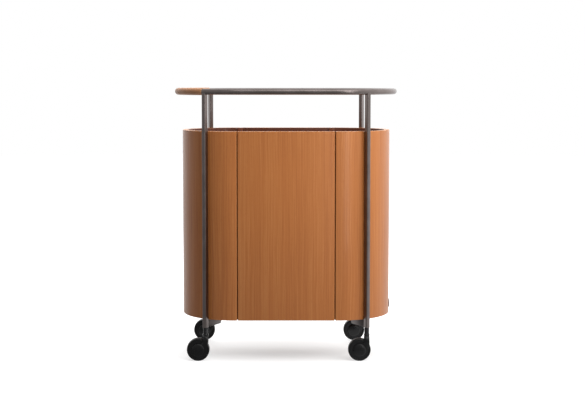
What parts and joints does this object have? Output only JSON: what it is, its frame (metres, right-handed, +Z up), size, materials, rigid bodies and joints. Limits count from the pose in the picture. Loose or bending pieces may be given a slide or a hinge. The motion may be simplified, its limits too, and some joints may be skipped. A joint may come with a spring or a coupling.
{
  "type": "cheese trolley",
  "caption": "Oval wooden serving trolley with a recessed deck, a front door over a shelved cupboard, a tubular push rail with a leather grip, and swivel casters.",
  "frame": {"origin": "on the floor, under the middle of the rail", "axes": "+X along the trolley away from the leather grip, +Y from the door to the back, +Z up"},
  "size_m": [0.7534, 0.422, 0.9015],
  "materials": {
    "veneer": "satin lacquered veneer, fine upright grain",
    "inner_veneer": "matt lacquered veneer",
    "frame_metal": "gloss gunmetal lacquer",
    "leather": "smooth stitched saddle leather",
    "black_plastic": "moulded, fine satin",
    "tyre": "smooth elastomer",
    "bright_steel": "zinc-plated"
  },
  "bodies": {
    "trolley": {"rail_tube": "frame_metal", "post_front_left": "frame_metal", "post_front_right": "frame_metal", "post_rear_left": "frame_metal", "post_rear_right": "frame_metal", "bracket_front_left": "frame_metal", "bracket_front_right": "frame_metal", "bracket_rear_left": "frame_metal", "bracket_rear_right": "frame_metal", "grip_wrap": "leather", "shell_left": "veneer", "shell_right": "veneer", "rear_panel": "veneer", "floor_board": "inner_veneer", "deck": "inner_veneer", "shelf": "inner_veneer", "stile_front_left": "inner_veneer", "stile_front_right": "inner_veneer", "stile_rear_left": "inner_veneer", "stile_rear_right": "inner_veneer", "bracket_screws": "bright_steel", "shelf_pins": "bright_steel", "hinge_leaf_tub_lower": "bright_steel", "hinge_leaf_tub_upper": "bright_steel", "hinge_pins": "bright_steel", "hinge_screws_tub": "bright_steel", "magnetic_catch": "black_plastic", "socket_front_left": "black_plastic", "socket_front_right": "black_plastic", "socket_rear_left": "black_plastic", "socket_rear_right": "black_plastic"},
    "door": {"door": "veneer", "hinge_leaf_door_lower": "bright_steel", "hinge_leaf_door_upper": "bright_steel", "hinge_screws_door": "bright_steel", "strike_plate": "bright_steel"},
    "caster_front_left": {"fork_front_left": "black_plastic", "stem_front_left": "bright_steel", "axle_front_left": "bright_steel", "hub_caps_front_left": "black_plastic"},
    "wheel_front_left": {"wheel_front_left": "black_plastic", "tyre_front_left": "tyre"},
    "caster_front_right": {"fork_front_right": "black_plastic", "stem_front_right": "bright_steel", "axle_front_right": "bright_steel", "hub_caps_front_right": "black_plastic"},
    "wheel_front_right": {"wheel_front_right": "black_plastic", "tyre_front_right": "tyre"},
    "caster_rear_left": {"fork_rear_left": "black_plastic", "stem_rear_left": "bright_steel", "axle_rear_left": "bright_steel", "hub_caps_rear_left": "black_plastic"},
    "wheel_rear_left": {"wheel_rear_left": "black_plastic", "tyre_rear_left": "tyre"},
    "caster_rear_right": {"fork_rear_right": "black_plastic", "stem_rear_right": "bright_steel", "axle_rear_right": "bright_steel", "hub_caps_rear_right": "black_plastic"},
    "wheel_rear_right": {"wheel_rear_right": "black_plastic", "tyre_rear_right": "tyre"}
  },
  "joints": [
    {"name": "door_hinge", "type": "hinge", "parent": "trolley", "child": "door", "pos_m": [-0.1525, -0.18, 0.425], "axis": [0, 0, -1], "range_deg": [0, 95]},
    {"name": "swivel_front_left", "type": "hinge", "parent": "trolley", "child": "caster_front_left", "pos_m": [-0.26702, -0.17319, 0.1], "axis": [0, 0, 1], "continuous": true},
    {"name": "roll_front_left", "type": "hinge", "parent": "caster_front_left", "child": "wheel_front_left", "pos_m": [-0.29152, -0.17319, 0.0375], "axis": [0, 1, 0], "continuous": true},
    {"name": "swivel_front_right", "type": "hinge", "parent": "trolley", "child": "caster_front_right", "pos_m": [0.26702, -0.17319, 0.1], "axis": [0, 0, 1], "continuous": true},
    {"name": "roll_front_right", "type": "hinge", "parent": "caster_front_right", "child": "wheel_front_right", "pos_m": [0.24252, -0.17319, 0.0375], "axis": [0, 1, 0], "continuous": true},
    {"name": "swivel_rear_left", "type": "hinge", "parent": "trolley", "child": "caster_rear_left", "pos_m": [-0.26702, 0.17319, 0.1], "axis": [0, 0, 1], "continuous": true},
    {"name": "roll_rear_left", "type": "hinge", "parent": "caster_rear_left", "child": "wheel_rear_left", "pos_m": [-0.29152, 0.17319, 0.0375], "axis": [0, 1, 0], "continuous": true},
    {"name": "swivel_rear_right", "type": "hinge", "parent": "trolley", "child": "caster_rear_right", "pos_m": [0.26702, 0.17319, 0.1], "axis": [0, 0, 1], "continuous": true},
    {"name": "roll_rear_right", "type": "hinge", "parent": "caster_rear_right", "child": "wheel_rear_right", "pos_m": [0.24252, 0.17319, 0.0375], "axis": [0, 1, 0], "continuous": true}
  ]
}
